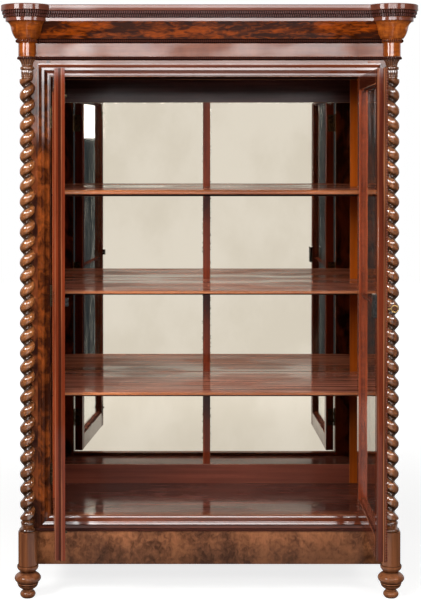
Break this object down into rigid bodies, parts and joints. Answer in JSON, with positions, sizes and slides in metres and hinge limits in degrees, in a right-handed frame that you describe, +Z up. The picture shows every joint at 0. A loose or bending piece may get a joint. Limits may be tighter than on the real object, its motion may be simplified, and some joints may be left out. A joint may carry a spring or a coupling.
{
  "type": "display case",
  "caption": "Tall glazed display case in mahogany with hinged doors, twisted corner columns, a dentil cornice, mirrored back and loose shelves, standing on turned feet.",
  "frame": {"origin": "on the floor, in the middle of the width, under the front face of the case", "axes": "+X to the right as seen from the front, +Y from the front to the back, +Z up"},
  "size_m": [1.544, 1.1856, 2.2],
  "materials": {
    "mahogany_front": "French polish, gloss",
    "mahogany_inside": "satin polish",
    "softwood": "bare wood",
    "flame_veneer": "French polish, gloss",
    "burl_veneer": "French polish, gloss",
    "dark_mahogany": "polish, gloss",
    "turned_mahogany": "French polish, gloss",
    "surround_mahogany": "French polish, gloss",
    "shelf_mahogany": "satin polish",
    "door_mahogany": "French polish, gloss",
    "old_glass": "clear, slightly uneven",
    "old_mirror": "old silvering, slightly uneven",
    "brass": "aged",
    "lock_steel": "aged"
  },
  "bodies": {
    "case": {"back_boards": "softwood", "back_frame": "mahogany_inside", "bottom_board": "mahogany_inside", "case_hinge_leaves": "brass", "cornice_frame": "mahogany_inside", "cornice_moulding": "burl_veneer", "cornice_top": "dark_mahogany", "dentil_and_bead_strips": "dark_mahogany", "door_stop": "mahogany_front", "frieze": "flame_veneer", "head_rail": "mahogany_front", "hinge_pins": "brass", "left_base_drum": "turned_mahogany", "left_capital": "burl_veneer", "left_column": "turned_mahogany", "left_corner_post": "mahogany_front", "left_front_foot": "turned_mahogany", "left_mirror": "old_mirror", "left_side": "mahogany_inside", "lower_shelf": "shelf_mahogany", "middle_shelf": "shelf_mahogany", "plinth_cap": "dark_mahogany", "plinth_front": "flame_veneer", "plinth_sides": "mahogany_inside", "rear_feet": "turned_mahogany", "right_base_drum": "turned_mahogany", "right_capital": "burl_veneer", "right_column": "turned_mahogany", "right_corner_post": "mahogany_front", "right_front_foot": "turned_mahogany", "right_mirror": "old_mirror", "right_side": "mahogany_inside", "shelf_cleats": "mahogany_inside", "sill_rail": "mahogany_front", "surround_bottom": "surround_mahogany", "surround_left": "surround_mahogany", "surround_right": "surround_mahogany", "surround_top": "surround_mahogany", "top_board": "mahogany_inside", "upper_shelf": "shelf_mahogany"},
    "left_door": {"left_door_glazing_bars": "door_mahogany", "left_door_hinge_leaves": "brass", "left_door_hinge_stile": "door_mahogany", "left_door_meeting_stile": "door_mahogany", "left_door_panes": "old_glass", "left_door_rails": "door_mahogany", "bolt_plates": "brass", "lock_keeper": "lock_steel"},
    "right_door": {"right_door_glazing_bars": "door_mahogany", "right_door_hinge_leaves": "brass", "right_door_hinge_stile": "door_mahogany", "right_door_meeting_stile": "door_mahogany", "right_door_panes": "old_glass", "right_door_rails": "door_mahogany", "lock_case": "lock_steel", "escutcheon": "brass"},
    "key": {"key": "brass"},
    "lock_bolt": {"lock_bolt": "lock_steel"},
    "top_bolt": {"top_bolt": "brass"},
    "bottom_bolt": {"bottom_bolt": "brass"}
  },
  "joints": [
    {"name": "left_door_swing", "type": "hinge", "parent": "case", "child": "left_door", "pos_m": [-0.588, -0.0045, 1.1215], "axis": [0, 0, -1], "range_deg": [-84, 26]},
    {"name": "right_door_swing", "type": "hinge", "parent": "case", "child": "right_door", "pos_m": [0.588, -0.0045, 1.1215], "axis": [0, 0, 1], "range_deg": [-89, 21]},
    {"name": "key_turn", "type": "hinge", "parent": "right_door", "child": "key", "pos_m": [0.57368, -0.56734, 1.14], "axis": [0.9998, -0.0175, 0], "range_deg": [0, 180]},
    {"name": "lock_bolt_slide", "type": "slide", "parent": "right_door", "child": "lock_bolt", "axis": [-0.0175, -0.9998, 0], "range_m": [0, 0.012]},
    {"name": "top_bolt_slide", "type": "slide", "parent": "left_door", "child": "top_bolt", "axis": [0, 0, 1], "range_m": [0, 0.016]},
    {"name": "bottom_bolt_slide", "type": "slide", "parent": "left_door", "child": "bottom_bolt", "axis": [0, 0, -1], "range_m": [0, 0.016]}
  ],
  "couplings": [
    {"joint": "lock_bolt_slide", "follows": "key_turn", "m_per_rad": 0.003819}
  ]
}
